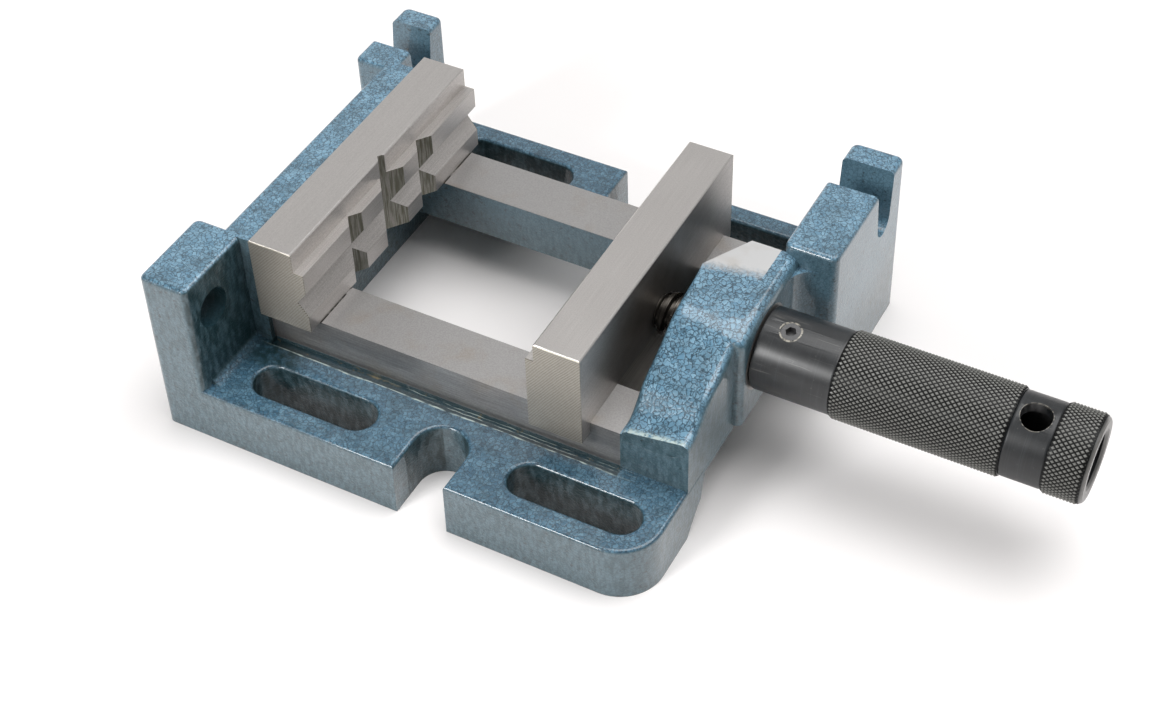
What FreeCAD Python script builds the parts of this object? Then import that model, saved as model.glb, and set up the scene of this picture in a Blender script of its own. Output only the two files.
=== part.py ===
import FreeCAD, Part
import math
import os

# Drill press vise, in millimetres.
# x runs from the fixed jaw's seat towards the handle, y runs across the vise and z up from the table.
# Each finished shape is moved along x, so that the origin is the middle of the four table slots.

os.makedirs("parts", exist_ok=True)

V = FreeCAD.Vector
X = V(1, 0, 0)
Y = V(0, 1, 0)
Z = V(0, 0, 1)

# Running gap between machined faces and shafts, and the wider gap left around loose neighbours
RUNNING = 0.05
LOOSE = 0.3
# How far a cutting shape runs past the face it cuts
PAST = 1.0
# How near to a face an edge has to lie to count as being on it
TOUCH = 0.1
# Sideways lean of cast walls per millimetre of height
DRAFT = 0.018

# Base and its flanges
BASE_HALF_WIDTH = 75.4
FLANGE_TOP = 19.3
FLANGE_EDGE_ROUND = 1.2
BED_RIGHT = 142.0
BED_CORNER_ROUND = 14.0
FOOT_CORNER_ROUND = 8.0
HOLLOW_HALF_WIDTH = 46.0
HOLLOW_STEPS = ((2.8, 3.1), (7.3, 7.3), (9.3, 8.6), (11.0, 14.5))
HOLLOW_TOP_STEP = 12.2

# Slots and notches that hold the base down
SLOTS_MIDDLE = 69.3
SLOT_SPACING_X = 88.4
SLOT_FROM_SIDE = 13.9
SLOT_WIDTH = 12.4
SLOT_LENGTH = 42.4
NOTCH_WIDTH = 17.0
NOTCH_DEPTH = 21.4

# Rails that the moving jaw runs on
RAIL_INNER = 27.7
RAIL_WIDTH = 17.3
RAIL_TOP = 33.4
RAIL_THICKNESS = 16.2
RELIEF_WIDTH = 3.2
RELIEF_DEPTH = 0.8

# Left end wall and its two posts
WALL_THICKNESS = 12.2
SEAT_HALF_WIDTH = 47.0
POST_TOP = 59.6
POST_LEFT = -22.7
POST_EDGE_ROUND = 1.6
POST_CORNER_ROUND = 2.4
POST_ROOT_ROUND = 3.5
NEAR_POST_LENGTH = 16.9
NEAR_POST_INNER = 44.9
FAR_POST_LENGTH = 14.6
FAR_POST_INNER = 43.0
POST_HOLE_RADIUS = 6.4
POST_HOLE_FROM_SIDE = 11.9
POST_HOLE_Z = 45.3

# Open slots in the far post and in the upright
EAR_THICKNESS = 8.7
EAR_SLOT_WIDTH = 12.8
EAR_SLOT_FOOT_WIDTH = 9.6
EAR_SLOT_BOTTOM = 40.0

# Bridge with its hump, pad and boss, and the upright beside them
BRIDGE_LEFT = 120.0
BRIDGE_THICKNESS = 21.5
HUMP_LOW_LEFT = 34.6
HUMP_LOW_RIGHT = 38.4
HUMP_TOP = 56.0
HUMP_FAR = 23.2
HUMP_EDGE_ROUND = 2.5
HUMP_RISE_RATIOS = ((0.18, 0.16), (0.27, 0.35), (0.42, 0.52), (0.56, 0.67), (0.68, 0.83), (0.85, 0.94))
CORNER_CUT_ALONG = 8.9
CORNER_CUT_ACROSS = 15.6
CORNER_CUT_SLOPE = 50.0
BOSS_FACE = 144.3
BOSS_OVERLAP = 5.0
BOSS_NEAR = 15.5
BOSS_BOTTOM = 19.5
BOSS_EDGE_ROUND = 2.0
BOSS_TOP_ROUND = 3.5
UPRIGHT_LEFT = 139.3
UPRIGHT_LENGTH = 18.0
UPRIGHT_INNER = 22.4
UPRIGHT_ROOT_ROUND = 7.0

# Fixed jaw
JAW_HALF_WIDTH = 50.0
FIXED_JAW_TOP = 63.1
FIXED_JAW_UPPER = 14.86
FIXED_JAW_LOWER = 18.3
FIXED_JAW_STEP = 7.0
FLAT_GROOVE_MIDDLE = 44.3
FLAT_GROOVE_HALF = 4.7
FLAT_GROOVE_DEPTH = 3.3
UPRIGHT_GROOVE_ANGLE = 53.0
UPRIGHT_GROOVES = ((-21.3, 3.6), (0.0, 6.3), (19.0, 4.3))

# Moving jaw
MOVING_JAW_BACK = 110.2
MOVING_JAW_UPPER = 14.84
MOVING_JAW_LIP = 2.6
MOVING_JAW_TOP = 62.4
MOVING_JAW_STEP = 6.5
JAW_TAB_DEPTH = 4.2
JAW_EDGE = 0.4

# Screws that hold the jaws and the keeper
CAP_SCREW_RADIUS = 3.0
CAP_HEAD_RADIUS = 5.0
CAP_HEAD_HEIGHT = 6.0
CAP_SOCKET_ACROSS = 5.0
CAP_SOCKET_DEPTH = 3.0
CAP_EDGE = 0.5
FIXED_SCREW_Y = 34.0
FIXED_SCREW_Z = 48.5
FIXED_SCREW_GRIP = 10.0
KEEPER_SCREW_Y = 17.0
KEEPER_SCREW_GRIP = 10.0

# Guide block and keeper plate
GUIDE_LENGTH = 16.0
GUIDE_EDGE = 0.5
KEEPER_THICKNESS = 6.0
KEEPER_HALF_WIDTH = 33.0
KEEPER_LENGTH = 16.0
KEEPER_CORNER_ROUND = 3.0

# Lead screw, its pin, the nut that turns on it and the washer
SCREW_Z = 39.5
SCREW_RADIUS = 7.0
SCREW_RIGHT = 211.0
SCREW_END_CHAMFER = 1.5
SPIGOT_RADIUS = 4.5
SPIGOT_LENGTH = 11.0
PIN_RADIUS = 1.5
PIN_LENGTH = 12.0
NUT_FLANGE_RADIUS = 13.0
NUT_FLANGE_THICKNESS = 3.5
NUT_SHANK_RADIUS = 10.0
NUT_TAIL_RADIUS = 9.0
NUT_TAIL_LENGTH = 15.5
WASHER_THICKNESS = 1.0

# Knurled handle: the length and outer radius of each of its four bands
HUB_LENGTH = 24.7
HUB_RADIUS = 12.75
GRIP_LENGTH = 50.6
GRIP_RADIUS = 13.5
NECK_LENGTH = 12.2
NECK_RADIUS = 12.7
COLLAR_LENGTH = 11.9
COLLAR_RADIUS = 13.4
BAND_CHAMFER = 0.6
END_CHAMFER = 1.2
HANDLE_BORE_RADIUS = 8.5
CROSS_HOLE_RADIUS = 4.5
CROSS_HOLE_ANGLE = -14.0
GRUB_RADIUS = 3.0
GRUB_FROM_BOSS = 8.8
GRUB_ANGLE = -13.0
GRUB_SOCKET_ACROSS = 3.0
GRUB_SOCKET_DEPTH = 2.0

# Places worked out from the sizes above
RAIL_OUTER = RAIL_INNER + RAIL_WIDTH
UNDERSIDE = RAIL_TOP - RAIL_THICKNESS
SLOT_Y = BASE_HALF_WIDTH - SLOT_FROM_SIDE
POST_HOLE_Y = BASE_HALF_WIDTH - POST_HOLE_FROM_SIDE
BRIDGE_RIGHT = BRIDGE_LEFT + BRIDGE_THICKNESS
RECESS_DEPTH = WASHER_THICKNESS + NUT_FLANGE_THICKNESS + LOOSE
FIXED_JAW_LEDGE = FIXED_JAW_TOP - FIXED_JAW_STEP
MOVING_JAW_FRONT = MOVING_JAW_BACK - MOVING_JAW_UPPER - MOVING_JAW_LIP
MOVING_JAW_BOTTOM = RAIL_TOP + RUNNING
MOVING_JAW_LEDGE = MOVING_JAW_TOP - MOVING_JAW_STEP
GUIDE_MIDDLE = (MOVING_JAW_FRONT + MOVING_JAW_BACK) / 2
GUIDE_BOTTOM = UNDERSIDE - RUNNING
PIN_X = MOVING_JAW_BACK - SPIGOT_LENGTH / 2
KEEPER_BOTTOM = GUIDE_BOTTOM - KEEPER_THICKNESS
HANDLE_LEFT = BOSS_FACE + LOOSE
GRIP_LEFT = HANDLE_LEFT + HUB_LENGTH
NECK_LEFT = GRIP_LEFT + GRIP_LENGTH
COLLAR_LEFT = NECK_LEFT + NECK_LENGTH
HANDLE_RIGHT = COLLAR_LEFT + COLLAR_LENGTH
CROSS_HOLE_X = NECK_LEFT + NECK_LENGTH / 2
GRUB_X = BOSS_FACE + GRUB_FROM_BOSS


def block(x0, x1, y0, y1, z0, z1):
    """Rectangular block between two corners."""
    return Part.makeBox(x1 - x0, y1 - y0, z1 - z0, V(x0, y0, z0))


def rod(radius, start, end):
    """Round bar from one point to another."""
    return Part.makeCylinder(radius, (end - start).Length, start, end - start)


def bar_x(radius, x0, x1, y=0.0, z=SCREW_Z):
    """Round bar along x."""
    return rod(radius, V(x0, y, z), V(x1, y, z))


def bar_z(radius, z0, z1, x, y):
    """Upright round bar."""
    return rod(radius, V(x, y, z0), V(x, y, z1))


def face_from(points):
    """Flat face inside a closed run of corners."""
    return Part.Face(Part.makePolygon(points + points[:1]))


def prism_x(outline, x0, x1):
    """Outline of (y, z) corners drawn out along x."""
    return face_from([V(x0, y, z) for y, z in outline]).extrude(X * (x1 - x0))


def prism_y(outline, y0, y1):
    """Outline of (x, z) corners drawn out along y."""
    return face_from([V(x, y0, z) for x, z in outline]).extrude(Y * (y1 - y0))


def prism_z(outline, z0, z1):
    """Outline of (x, y) corners drawn out along z."""
    return face_from([V(x, y, z0) for x, y in outline]).extrude(Z * (z1 - z0))


def mirrored(shape):
    """The same shape on the other side of the vise's middle plane."""
    return shape.mirror(V(0, 0, 0), Y)


def both_sides(shape):
    """The shape and its mirror image as a list."""
    return [shape, mirrored(shape)]


def fused(shapes):
    """All shapes joined into one solid, without leftover seams."""
    return shapes[0].multiFuse(shapes[1:]).removeSplitter()


def span(edge):
    """Lowest and highest corner of an edge."""
    limits = edge.BoundBox
    return (limits.XMin, limits.YMin, limits.ZMin), (limits.XMax, limits.YMax, limits.ZMax)


def rounded(shape, radius, chosen):
    """Rounds the edges whose two span corners pass the test."""
    return shape.makeFillet(radius, [edge for edge in shape.Edges if chosen(*span(edge))])


def chamfered(shape, size, chosen):
    """Bevels the edges whose two span corners pass the test."""
    return shape.makeChamfer(size, [edge for edge in shape.Edges if chosen(*span(edge))])


def upright_edge(low, high):
    """True for an edge that climbs more than it runs sideways."""
    return high[2] - low[2] > 2 * max(high[0] - low[0], high[1] - low[1])


def top_edge(height):
    """Test for edges that lie at one height."""
    return lambda low, high: low[2] > height - TOUCH and high[2] < height + TOUCH


def leaning_block(x0, x1, y0, y1, top, lean_sides):
    """Flat-sided block from the table up.

    lean_sides tells which of the four sides (x0, x1, y0, y1) lean inwards with height.
    """
    lean = [DRAFT * top if side else 0.0 for side in lean_sides]
    low = [V(x0, y0, 0), V(x1, y0, 0), V(x1, y1, 0), V(x0, y1, 0)]
    high = [
        V(x0 + lean[0], y0 + lean[2], top),
        V(x1 - lean[1], y0 + lean[2], top),
        V(x1 - lean[1], y1 - lean[3], top),
        V(x0 + lean[0], y1 - lean[3], top),
    ]
    faces = [face_from(low[::-1]), face_from(high)]
    for first, second in ((0, 1), (1, 2), (2, 3), (3, 0)):
        faces.append(face_from([low[first], low[second], high[second], high[first]]))
    return Part.makeSolid(Part.makeShell(faces))


def cast_post(x0, x1, y0, y1, lean_sides):
    """Leaning block up to the post tops, with round upright corners and a soft top edge."""
    solid = leaning_block(x0, x1, y0, y1, POST_TOP, lean_sides)
    solid = rounded(solid, POST_CORNER_ROUND, upright_edge)
    return rounded(solid, POST_EDGE_ROUND, top_edge(POST_TOP))


def slot_cutter(x_middle, y_middle, length, width, z0, z1):
    """Upright cutter with round ends, long side along x."""
    reach = (length - width) / 2
    middle = block(x_middle - reach, x_middle + reach, y_middle - width / 2, y_middle + width / 2, z0, z1)
    ends = [bar_z(width / 2, z0, z1, x_middle + side * reach, y_middle) for side in (-1, 1)]
    return fused([middle] + ends)


def hold_down_cutters():
    """Cutters for the four table slots and the two open notches."""
    low, high = -PAST, FLANGE_TOP + PAST
    cutters = []
    for side in (-1, 1):
        for end in (-1, 1):
            x_middle = SLOTS_MIDDLE + end * SLOT_SPACING_X / 2
            cutters.append(slot_cutter(x_middle, side * SLOT_Y, SLOT_LENGTH, SLOT_WIDTH, low, high))
        bottom = BASE_HALF_WIDTH - NOTCH_DEPTH + NOTCH_WIDTH / 2
        edges = sorted((side * bottom, side * (BASE_HALF_WIDTH + PAST)))
        half = NOTCH_WIDTH / 2
        mouth = block(SLOTS_MIDDLE - half, SLOTS_MIDDLE + half, edges[0], edges[1], low, high)
        cutters.append(fused([mouth, bar_z(half, low, high, SLOTS_MIDDLE, side * bottom)]))
    return cutters


def base_plate():
    """The footprint of the casting up to the flange tops, with its corners rounded."""
    left, right = POST_LEFT, BED_RIGHT
    leans = (False, True, True, True)
    plate = leaning_block(left, right, -BASE_HALF_WIDTH, BASE_HALF_WIDTH, FLANGE_TOP, leans)
    plate = rounded(plate, FOOT_CORNER_ROUND, lambda a, b: upright_edge(a, b) and b[0] < left + PAST)
    plate = rounded(plate, BED_CORNER_ROUND, lambda a, b: upright_edge(a, b) and a[0] > right - PAST)
    recess = block(POST_LEFT - PAST, -WALL_THICKNESS, -NEAR_POST_INNER, FAR_POST_INNER, -PAST, POST_TOP)
    plate = plate.cut(Part.makeCompound(hold_down_cutters() + [recess]))
    return rounded(plate, FLANGE_EDGE_ROUND, top_edge(FLANGE_TOP))


def under_hollow():
    """The space between the legs, open at the right end."""
    side = [(HOLLOW_HALF_WIDTH, -PAST), (HOLLOW_HALF_WIDTH, 0.0)]
    side += [(HOLLOW_HALF_WIDTH - inwards, height) for inwards, height in HOLLOW_STEPS]
    side.append((HOLLOW_HALF_WIDTH - HOLLOW_TOP_STEP, UNDERSIDE))
    outline = side + [(-y, z) for y, z in reversed(side)]
    return prism_x(outline, 0.0, BED_RIGHT + PAST)


def rail():
    """The far rail."""
    return block(-WALL_THICKNESS, BRIDGE_RIGHT, RAIL_INNER, RAIL_OUTER, UNDERSIDE, RAIL_TOP)


def relief_groove():
    """Cutter for the shallow groove between the far rail and its flange."""
    return block(0.0, BRIDGE_LEFT, RAIL_OUTER, RAIL_OUTER + RELIEF_WIDTH, FLANGE_TOP - RELIEF_DEPTH,
                 FLANGE_TOP + PAST)


def root_fill(corner, along, one_way, other_way, radius):
    """Hollow-faced filler for an inside corner that runs along a vector."""
    middle = corner + (one_way + other_way) * radius
    bottom = middle - (one_way + other_way) * (radius / math.sqrt(2))
    first = corner + one_way * radius
    last = corner + other_way * radius
    hollow = Part.Arc(first, bottom, last).toShape()
    edges = [Part.makeLine(corner, first), hollow, Part.makeLine(last, corner)]
    return Part.Face(Part.Wire(edges)).extrude(along)


def root_fills():
    """Fillers where the posts rise from the flanges and where the upright meets the boss."""
    near_post = V(POST_LEFT + NEAR_POST_LENGTH, -SEAT_HALF_WIDTH, FLANGE_TOP)
    far_post = V(POST_LEFT + FAR_POST_LENGTH, SEAT_HALF_WIDTH, FLANGE_TOP)
    reach = BASE_HALF_WIDTH - SEAT_HALF_WIDTH - 2 * POST_CORNER_ROUND
    boss = V(BOSS_FACE, UPRIGHT_INNER, BOSS_BOTTOM)
    rise = HUMP_TOP - BOSS_TOP_ROUND - BOSS_BOTTOM
    return [
        root_fill(near_post, Y * -reach, X, Z, POST_ROOT_ROUND),
        root_fill(far_post, Y * reach, X, Z, POST_ROOT_ROUND),
        root_fill(boss, Z * rise, X, Y * -1, UPRIGHT_ROOT_ROUND),
    ]


def end_wall():
    """The wall behind the fixed jaw with a post at each side."""
    wall = block(-WALL_THICKNESS, 0.0, -SEAT_HALF_WIDTH, SEAT_HALF_WIDTH, 0.0, POST_TOP)
    on_top = top_edge(POST_TOP)
    wall = rounded(wall, POST_EDGE_ROUND, lambda a, b: on_top(a, b) and b[0] < PAST - WALL_THICKNESS)
    near = cast_post(POST_LEFT, POST_LEFT + NEAR_POST_LENGTH, -BASE_HALF_WIDTH, -NEAR_POST_INNER,
                     (False, False, True, False))
    far = cast_post(POST_LEFT, POST_LEFT + FAR_POST_LENGTH, FAR_POST_INNER, BASE_HALF_WIDTH,
                    (False, False, False, False))
    return [wall, near, far]


def ear_slot_cutter(x0, x1):
    """Cutter for an open-topped slot that narrows to a round bottom."""
    mouth = EAR_SLOT_WIDTH / 2
    foot = EAR_SLOT_FOOT_WIDTH / 2
    middle = BASE_HALF_WIDTH - EAR_THICKNESS - mouth
    bottom = EAR_SLOT_BOTTOM + foot
    outline = [
        (middle - foot, bottom),
        (middle + foot, bottom),
        (middle + mouth, POST_TOP),
        (middle + mouth, POST_TOP + PAST),
        (middle - mouth, POST_TOP + PAST),
        (middle - mouth, POST_TOP),
    ]
    return fused([prism_x(outline, x0, x1), bar_x(foot, x0, x1, middle, bottom)])


def hump_wire(x, low_end):
    """One end outline of the hump, from its low near end over the crown to the far side."""
    reach = RAIL_OUTER
    rise = HUMP_TOP - low_end
    slope = [V(x, -reach, low_end)]
    slope += [V(x, reach * (across - 1), low_end + rise * up) for across, up in HUMP_RISE_RATIOS]
    slope += [V(x, 0.0, HUMP_TOP)]
    curve = Part.BSplineCurve()
    curve.interpolate(slope)
    corners = [
        V(x, 0.0, HUMP_TOP),
        V(x, HUMP_FAR, HUMP_TOP),
        V(x, HUMP_FAR, UNDERSIDE),
        V(x, -reach, UNDERSIDE),
        V(x, -reach, low_end),
    ]
    return Part.Wire([curve.toShape()] + [Part.makeLine(a, b) for a, b in zip(corners, corners[1:])])


def corner_cutter():
    """Sloping cutter that takes off the hump's far left corner."""
    start = V(BRIDGE_LEFT, HUMP_FAR - CORNER_CUT_ACROSS, HUMP_TOP)
    along = V(CORNER_CUT_ALONG, CORNER_CUT_ACROSS, 0).normalize()
    outwards = V(-along.y, along.x, 0)
    slope = math.radians(CORNER_CUT_SLOPE)
    reach = 30.0
    first = start - along * reach
    down = outwards * reach * math.cos(slope) - Z * reach * math.sin(slope)
    face = face_from([first, first + down, first + down + Z * 2 * reach, first + Z * reach])
    return face.extrude(along * 3 * reach)


def bridge():
    """The cross piece that carries the screw, with its hump and boss."""
    wires = [hump_wire(BRIDGE_LEFT, HUMP_LOW_LEFT), hump_wire(BRIDGE_RIGHT, HUMP_LOW_RIGHT)]
    hump = Part.makeLoft(wires, True, True)
    hump = rounded(hump, HUMP_EDGE_ROUND, lambda a, b: a[2] > RAIL_TOP and b[1] < PAST and b[1] - a[1] > 30)
    low_bar = block(BRIDGE_LEFT, UPRIGHT_LEFT + PAST, 0.0, RAIL_OUTER, UNDERSIDE, RAIL_TOP)
    boss = Part.Face(hump_wire(BRIDGE_RIGHT - BOSS_OVERLAP, HUMP_LOW_RIGHT))
    boss = boss.extrude(X * (BOSS_FACE - BRIDGE_RIGHT + BOSS_OVERLAP))
    boss = boss.common(block(BRIDGE_LEFT, BOSS_FACE, -BOSS_NEAR, HUMP_FAR, BOSS_BOTTOM, HUMP_TOP))
    boss = rounded(boss, BOSS_TOP_ROUND, lambda a, b: a[0] > BOSS_FACE - TOUCH and a[2] > HUMP_LOW_RIGHT)
    boss = rounded(boss, BOSS_EDGE_ROUND, lambda a, b: a[0] > BOSS_FACE - TOUCH and b[1] < TOUCH - BOSS_NEAR)
    return [hump.cut(corner_cutter()), low_bar, boss]


def upright():
    """The tall block at the far right corner."""
    return cast_post(UPRIGHT_LEFT, UPRIGHT_LEFT + UPRIGHT_LENGTH, UPRIGHT_INNER, BASE_HALF_WIDTH,
                     (False, True, False, False))


def vise_body():
    """The whole casting with its machined holes."""
    window = block(0.0, BRIDGE_LEFT, -RAIL_INNER, RAIL_INNER, -PAST, RAIL_TOP + PAST)
    solid = fused([base_plate(), upright()] + both_sides(rail()) + end_wall() + bridge() + root_fills())
    holes = [under_hollow().cut(upright()), window] + both_sides(relief_groove())
    holes.append(bar_x(POST_HOLE_RADIUS, POST_LEFT - PAST, 0.0, -POST_HOLE_Y, POST_HOLE_Z))
    holes.append(ear_slot_cutter(POST_LEFT - PAST, POST_LEFT + FAR_POST_LENGTH + PAST))
    holes.append(ear_slot_cutter(UPRIGHT_LEFT - PAST, UPRIGHT_LEFT + UPRIGHT_LENGTH + PAST))
    holes.append(bar_x(NUT_FLANGE_RADIUS + LOOSE, BRIDGE_LEFT - PAST, BRIDGE_LEFT + RECESS_DEPTH))
    holes.append(bar_x(NUT_SHANK_RADIUS + RUNNING, BRIDGE_LEFT, BOSS_FACE + PAST))
    for y in (-FIXED_SCREW_Y, FIXED_SCREW_Y):
        behind = -WALL_THICKNESS - PAST
        holes.append(bar_x(CAP_SCREW_RADIUS + LOOSE, behind, PAST, y, FIXED_SCREW_Z))
        seat = CAP_HEAD_HEIGHT - WALL_THICKNESS
        holes.append(bar_x(CAP_HEAD_RADIUS + LOOSE, behind, seat, y, FIXED_SCREW_Z))
    return solid.cut(Part.makeCompound(holes))


def hex_socket(across, depth, end, axis):
    """Cutter for a six-sided socket that opens at a point and goes in against the axis."""
    corner = across / math.sqrt(3)
    start = end - axis * depth
    side = axis.cross(Y if abs(axis.y) < 0.9 else Z).normalize()
    other = axis.cross(side)
    points = []
    for step in range(6):
        angle = math.radians(60 * step)
        points.append(start + side * corner * math.cos(angle) + other * corner * math.sin(angle))
    return face_from(points).extrude(axis * (depth + PAST))


def cap_screw(seat, axis, under_head):
    """Cap screw whose head sits on a point and whose shank runs on along the axis."""
    top = seat - axis * (CAP_HEAD_HEIGHT - LOOSE)
    head = rod(CAP_HEAD_RADIUS, top, seat)
    head = head.makeChamfer(CAP_EDGE, [edge for edge in head.Edges if edge.CenterOfMass.isEqual(top, TOUCH)])
    shank = rod(CAP_SCREW_RADIUS - RUNNING, seat, seat + axis * under_head)
    return fused([head, shank]).cut(hex_socket(CAP_SOCKET_ACROSS, CAP_SOCKET_DEPTH, top, axis * -1))


def jaw_blank(outline, upper_edges):
    """Jaw bar drawn out across the vise, with a fine bevel on its upper edges."""
    bar = prism_y(outline, -JAW_HALF_WIDTH, JAW_HALF_WIDTH)
    return chamfered(bar, JAW_EDGE, upper_edges)


def fixed_jaw():
    """Stepped jaw with one long groove and three upright grooves in its face."""
    outline = [
        (0.0, RAIL_TOP),
        (FIXED_JAW_LOWER, RAIL_TOP),
        (FIXED_JAW_LOWER, FLAT_GROOVE_MIDDLE - FLAT_GROOVE_HALF),
        (FIXED_JAW_LOWER - FLAT_GROOVE_DEPTH, FLAT_GROOVE_MIDDLE),
        (FIXED_JAW_LOWER, FLAT_GROOVE_MIDDLE + FLAT_GROOVE_HALF),
        (FIXED_JAW_LOWER, FIXED_JAW_LEDGE),
        (FIXED_JAW_UPPER, FIXED_JAW_LEDGE),
        (FIXED_JAW_UPPER, FIXED_JAW_TOP),
        (0.0, FIXED_JAW_TOP),
    ]
    jaw = jaw_blank(outline, top_edge(FIXED_JAW_TOP))
    spread = math.tan(math.radians(UPRIGHT_GROOVE_ANGLE))
    cutters = []
    for middle, half in UPRIGHT_GROOVES:
        apex = FIXED_JAW_LOWER - half / spread
        mouth = half + PAST * spread
        front = FIXED_JAW_LOWER + PAST
        corners = [(apex, middle), (front, middle - mouth), (front, middle + mouth)]
        cutters.append(prism_z(corners, RAIL_TOP - PAST, FIXED_JAW_TOP + PAST))
    for y in (-FIXED_SCREW_Y, FIXED_SCREW_Y):
        cutters.append(bar_x(CAP_SCREW_RADIUS, -PAST, FIXED_SCREW_GRIP + PAST, y, FIXED_SCREW_Z))
    return jaw.cut(Part.makeCompound(cutters))


def fixed_jaw_screws():
    """The two screws that pull the fixed jaw against the wall."""
    seat = CAP_HEAD_HEIGHT - WALL_THICKNESS
    length = FIXED_SCREW_GRIP - seat
    screws = [cap_screw(V(seat, y, FIXED_SCREW_Z), X, length) for y in (-FIXED_SCREW_Y, FIXED_SCREW_Y)]
    return Part.makeCompound(screws)


def moving_jaw():
    """Stepped jaw with tabs outside the rails, bored for the screw, its pin and the keeper screws."""
    upper_front = MOVING_JAW_FRONT + MOVING_JAW_LIP
    outline = [
        (MOVING_JAW_FRONT, MOVING_JAW_BOTTOM),
        (MOVING_JAW_BACK, MOVING_JAW_BOTTOM),
        (MOVING_JAW_BACK, MOVING_JAW_TOP),
        (upper_front, MOVING_JAW_TOP),
        (upper_front, MOVING_JAW_LEDGE),
        (MOVING_JAW_FRONT, MOVING_JAW_LEDGE),
    ]
    bar = jaw_blank(outline, top_edge(MOVING_JAW_TOP))
    tab = block(MOVING_JAW_FRONT, MOVING_JAW_BACK, RAIL_OUTER + RUNNING, JAW_HALF_WIDTH,
                RAIL_TOP - JAW_TAB_DEPTH, MOVING_JAW_BOTTOM)
    jaw = fused([bar] + both_sides(tab))
    below = MOVING_JAW_BOTTOM - PAST
    spigot_end = MOVING_JAW_BACK - SPIGOT_LENGTH - LOOSE
    cutters = [bar_x(SPIGOT_RADIUS + RUNNING, spigot_end, MOVING_JAW_BACK + PAST)]
    cutters.append(bar_z(PIN_RADIUS + RUNNING, below, MOVING_JAW_BOTTOM + PIN_LENGTH, PIN_X, 0.0))
    for y in (-KEEPER_SCREW_Y, KEEPER_SCREW_Y):
        high = MOVING_JAW_BOTTOM + KEEPER_SCREW_GRIP + PAST
        cutters.append(bar_z(CAP_SCREW_RADIUS, below, high, GUIDE_MIDDLE, y))
    return jaw.cut(Part.makeCompound(cutters))


def keeper_screw_holes(shape):
    """Cuts the two clearance holes of the keeper screws."""
    low, high = KEEPER_BOTTOM - PAST, MOVING_JAW_BOTTOM + PAST
    for y in (-KEEPER_SCREW_Y, KEEPER_SCREW_Y):
        hole = bar_z(CAP_SCREW_RADIUS + LOOSE, low, high, GUIDE_MIDDLE, y)
        shape = shape.cut(hole)
    return shape


def guide_block():
    """Block under the moving jaw that slides between the rails."""
    half = GUIDE_LENGTH / 2
    side = RAIL_INNER - LOOSE
    solid = block(GUIDE_MIDDLE - half, GUIDE_MIDDLE + half, -side, side, GUIDE_BOTTOM, MOVING_JAW_BOTTOM)
    solid = chamfered(solid, GUIDE_EDGE, upright_edge)
    return keeper_screw_holes(solid)


def keeper_plate():
    """Plate under the guide block that reaches below both rails."""
    half = KEEPER_LENGTH / 2
    solid = block(GUIDE_MIDDLE - half, GUIDE_MIDDLE + half, -KEEPER_HALF_WIDTH, KEEPER_HALF_WIDTH,
                  KEEPER_BOTTOM, GUIDE_BOTTOM)
    solid = rounded(solid, KEEPER_CORNER_ROUND, upright_edge)
    return keeper_screw_holes(solid)


def keeper_screws():
    """The two screws that hold plate and block under the moving jaw."""
    length = MOVING_JAW_BOTTOM + KEEPER_SCREW_GRIP - KEEPER_BOTTOM
    seats = [V(GUIDE_MIDDLE, y, KEEPER_BOTTOM) for y in (-KEEPER_SCREW_Y, KEEPER_SCREW_Y)]
    return Part.makeCompound([cap_screw(seat, Z, length) for seat in seats])


def lead_screw():
    """Screw with a thinner end that is pinned in the moving jaw."""
    shoulder = MOVING_JAW_BACK + LOOSE
    spigot = bar_x(SPIGOT_RADIUS, MOVING_JAW_BACK - SPIGOT_LENGTH, shoulder)
    thread = bar_x(SCREW_RADIUS, shoulder, SCREW_RIGHT)
    thread = thread.makeChamfer(SCREW_END_CHAMFER, [e for e in thread.Edges if e.BoundBox.XLength < TOUCH])
    low, high = SCREW_Z - 2 * SPIGOT_RADIUS, SCREW_Z + 2 * SPIGOT_RADIUS
    pin_hole = bar_z(PIN_RADIUS + RUNNING, low, high, PIN_X, 0.0)
    return fused([spigot, thread]).cut(pin_hole)


def screw_pin():
    """Pin that keeps the screw from turning in the moving jaw."""
    low = MOVING_JAW_BOTTOM + LOOSE
    return bar_z(PIN_RADIUS, low, low + PIN_LENGTH - 2 * LOOSE, PIN_X, 0.0)


def nut_bush():
    """Flanged nut that turns in the boss and carries the handle on its tail."""
    start = BRIDGE_LEFT + LOOSE
    flange = bar_x(NUT_FLANGE_RADIUS, start, start + NUT_FLANGE_THICKNESS)
    shank = bar_x(NUT_SHANK_RADIUS, start, BOSS_FACE)
    tail = bar_x(NUT_TAIL_RADIUS, start, HANDLE_LEFT + NUT_TAIL_LENGTH)
    bore = bar_x(SCREW_RADIUS + RUNNING, start - PAST, HANDLE_LEFT + NUT_TAIL_LENGTH + PAST)
    return fused([flange, shank, tail]).cut(bore)


def thrust_washer():
    """Washer between the nut's flange and the bridge."""
    start = BRIDGE_LEFT + LOOSE + NUT_FLANGE_THICKNESS
    ring = bar_x(NUT_FLANGE_RADIUS, start, start + WASHER_THICKNESS)
    return ring.cut(bar_x(NUT_SHANK_RADIUS + LOOSE, start - PAST, start + WASHER_THICKNESS + PAST))


def around_handle(angle):
    """Direction square to the screw line, turned from straight up."""
    turn = math.radians(angle)
    return V(0, math.sin(turn), math.cos(turn))


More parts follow.
